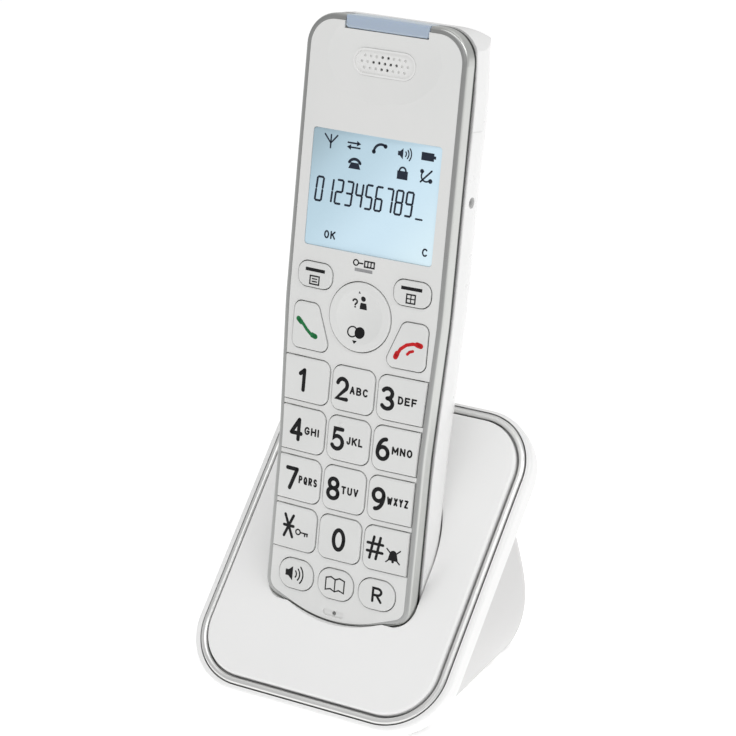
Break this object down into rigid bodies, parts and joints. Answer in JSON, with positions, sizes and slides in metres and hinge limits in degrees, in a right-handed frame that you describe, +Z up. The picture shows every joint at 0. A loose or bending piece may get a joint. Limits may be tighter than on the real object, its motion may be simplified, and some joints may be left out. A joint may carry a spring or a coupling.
{
  "type": "cordless phone with base",
  "caption": "Cordless telephone handset with display, large keys and light bar, standing in a sloping charging cradle.",
  "frame": {"origin": "on the table, under the middle of the whole object", "axes": "+Z up, -Y towards the user who faces the keys, +X to the user's right"},
  "size_m": [0.0834, 0.0733, 0.1894],
  "materials": {
    "shell_white": "gloss moulded plastic",
    "key_white": "satin moulded plastic",
    "silver_trim": "satin silver paint on plastic",
    "ear_silver": "pearl grey satin",
    "display": "clear lens over a pale blue display",
    "light_bar": "frosted translucent",
    "rubber": "matt",
    "silicone": "matt",
    "circuit_board": "solder resist",
    "black_plastic": "matt",
    "lcd_parts": "satin",
    "bright_metal": "nickel plated",
    "contact_metal": "nickel plated",
    "battery_wrap": "printed sleeve"
  },
  "bodies": {
    "base": {"base_top_shell": "shell_white", "base_trim_ring": "silver_trim", "base_lower_shell": "shell_white", "rubber_feet": "rubber", "base_screws": "bright_metal", "charger_board": "circuit_board", "dc_inlet": "black_plastic", "contact_holder": "black_plastic"},
    "handset": {"front_shell": "shell_white", "trim_band": "silver_trim", "light_bar": "light_bar", "back_shell": "shell_white", "earpiece_grille": "ear_silver", "display_window": "display", "keypad_mat": "silicone", "main_board": "circuit_board", "radio_shield": "bright_metal", "antenna": "bright_metal", "lcd_module": "lcd_parts", "backlight": "lcd_parts", "earpiece_speaker": "black_plastic", "microphone": "black_plastic", "ringer_led_board": "circuit_board", "ringer_speaker": "black_plastic", "vibration_motor": "bright_metal", "headset_jack": "black_plastic", "battery_cells": "battery_wrap", "battery_contacts": "bright_metal", "charge_pads": "contact_metal", "shell_screws": "bright_metal"},
    "battery_cover": {"battery_cover": "shell_white"},
    "nav_key": {"nav_key": "key_white"},
    "volume_rocker": {"volume_rocker": "shell_white"},
    "key_1": {"key_1": "key_white"},
    "key_2": {"key_2": "key_white"},
    "key_3": {"key_3": "key_white"},
    "key_4": {"key_4": "key_white"},
    "key_5": {"key_5": "key_white"},
    "key_6": {"key_6": "key_white"},
    "key_7": {"key_7": "key_white"},
    "key_8": {"key_8": "key_white"},
    "key_9": {"key_9": "key_white"},
    "key_star": {"key_star": "key_white"},
    "key_0": {"key_0": "key_white"},
    "key_hash": {"key_hash": "key_white"},
    "talk_key": {"talk_key": "key_white"},
    "end_key": {"end_key": "key_white"},
    "soft_key_left": {"soft_key_left": "key_white"},
    "soft_key_right": {"soft_key_right": "key_white"},
    "speaker_key": {"speaker_key": "key_white"},
    "phonebook_key": {"phonebook_key": "key_white"},
    "recall_key": {"recall_key": "key_white"},
    "charge_contact_left": {"charge_contact_left": "contact_metal"},
    "charge_contact_right": {"charge_contact_right": "contact_metal"}
  },
  "joints": [
    {"name": "handset_lift", "type": "slide", "parent": "base", "child": "handset", "axis": [0, 0.1932, 0.9812], "range_m": [0, 0.12]},
    {"name": "battery_cover_off", "type": "slide", "parent": "handset", "child": "battery_cover", "axis": [0, 0.9812, -0.1932], "range_m": [0, 0.015]},
    {"name": "nav_rock", "type": "hinge", "parent": "handset", "child": "nav_key", "pos_m": [0, 0.00046, 0.10866], "axis": [1, 0, 0], "range_deg": [-2, 2], "stiffness_Nm_per_rad": 0.25},
    {"name": "volume_rock", "type": "hinge", "parent": "handset", "child": "volume_rocker", "pos_m": [-0.0245, 0.01395, 0.12801], "axis": [0, 0.9812, -0.1932], "range_deg": [-2.5, 2.5], "stiffness_Nm_per_rad": 0.15},
    {"name": "key_1_press", "type": "slide", "parent": "handset", "child": "key_1", "axis": [0, 0.9812, -0.1932], "range_m": [0, 0.0005], "stiffness_N_per_m": 600},
    {"name": "key_2_press", "type": "slide", "parent": "handset", "child": "key_2", "axis": [0, 0.9812, -0.1932], "range_m": [0, 0.0005], "stiffness_N_per_m": 600},
    {"name": "key_3_press", "type": "slide", "parent": "handset", "child": "key_3", "axis": [0, 0.9812, -0.1932], "range_m": [0, 0.0005], "stiffness_N_per_m": 600},
    {"name": "key_4_press", "type": "slide", "parent": "handset", "child": "key_4", "axis": [0, 0.9812, -0.1932], "range_m": [0, 0.0005], "stiffness_N_per_m": 600},
    {"name": "key_5_press", "type": "slide", "parent": "handset", "child": "key_5", "axis": [0, 0.9812, -0.1932], "range_m": [0, 0.0005], "stiffness_N_per_m": 600},
    {"name": "key_6_press", "type": "slide", "parent": "handset", "child": "key_6", "axis": [0, 0.9812, -0.1932], "range_m": [0, 0.0005], "stiffness_N_per_m": 600},
    {"name": "key_7_press", "type": "slide", "parent": "handset", "child": "key_7", "axis": [0, 0.9812, -0.1932], "range_m": [0, 0.0005], "stiffness_N_per_m": 600},
    {"name": "key_8_press", "type": "slide", "parent": "handset", "child": "key_8", "axis": [0, 0.9812, -0.1932], "range_m": [0, 0.0005], "stiffness_N_per_m": 600},
    {"name": "key_9_press", "type": "slide", "parent": "handset", "child": "key_9", "axis": [0, 0.9812, -0.1932], "range_m": [0, 0.0005], "stiffness_N_per_m": 600},
    {"name": "key_star_press", "type": "slide", "parent": "handset", "child": "key_star", "axis": [0, 0.9812, -0.1932], "range_m": [0, 0.0005], "stiffness_N_per_m": 600},
    {"name": "key_0_press", "type": "slide", "parent": "handset", "child": "key_0", "axis": [0, 0.9812, -0.1932], "range_m": [0, 0.0005], "stiffness_N_per_m": 600},
    {"name": "key_hash_press", "type": "slide", "parent": "handset", "child": "key_hash", "axis": [0, 0.9812, -0.1932], "range_m": [0, 0.0005], "stiffness_N_per_m": 600},
    {"name": "talk_key_press", "type": "slide", "parent": "handset", "child": "talk_key", "axis": [0, 0.9812, -0.1932], "range_m": [0, 0.0005], "stiffness_N_per_m": 600},
    {"name": "end_key_press", "type": "slide", "parent": "handset", "child": "end_key", "axis": [0, 0.9812, -0.1932], "range_m": [0, 0.0005], "stiffness_N_per_m": 600},
    {"name": "soft_key_left_press", "type": "slide", "parent": "handset", "child": "soft_key_left", "axis": [0, 0.9812, -0.1932], "range_m": [0, 0.0005], "stiffness_N_per_m": 600},
    {"name": "soft_key_right_press", "type": "slide", "parent": "handset", "child": "soft_key_right", "axis": [0, 0.9812, -0.1932], "range_m": [0, 0.0005], "stiffness_N_per_m": 600},
    {"name": "speaker_key_press", "type": "slide", "parent": "handset", "child": "speaker_key", "axis": [0, 0.9812, -0.1932], "range_m": [0, 0.0005], "stiffness_N_per_m": 600},
    {"name": "phonebook_key_press", "type": "slide", "parent": "handset", "child": "phonebook_key", "axis": [0, 0.9812, -0.1932], "range_m": [0, 0.0005], "stiffness_N_per_m": 600},
    {"name": "recall_key_press", "type": "slide", "parent": "handset", "child": "recall_key", "axis": [0, 0.9812, -0.1932], "range_m": [0, 0.0005], "stiffness_N_per_m": 600},
    {"name": "charge_contact_left_spring", "type": "slide", "parent": "base", "child": "charge_contact_left", "axis": [0, 0.1932, 0.9812], "range_m": [-0.0012, 0], "stiffness_N_per_m": 150, "springref_m": 0.001},
    {"name": "charge_contact_right_spring", "type": "slide", "parent": "base", "child": "charge_contact_right", "axis": [0, 0.1932, 0.9812], "range_m": [-0.0012, 0], "stiffness_N_per_m": 150, "springref_m": 0.001}
  ]
}
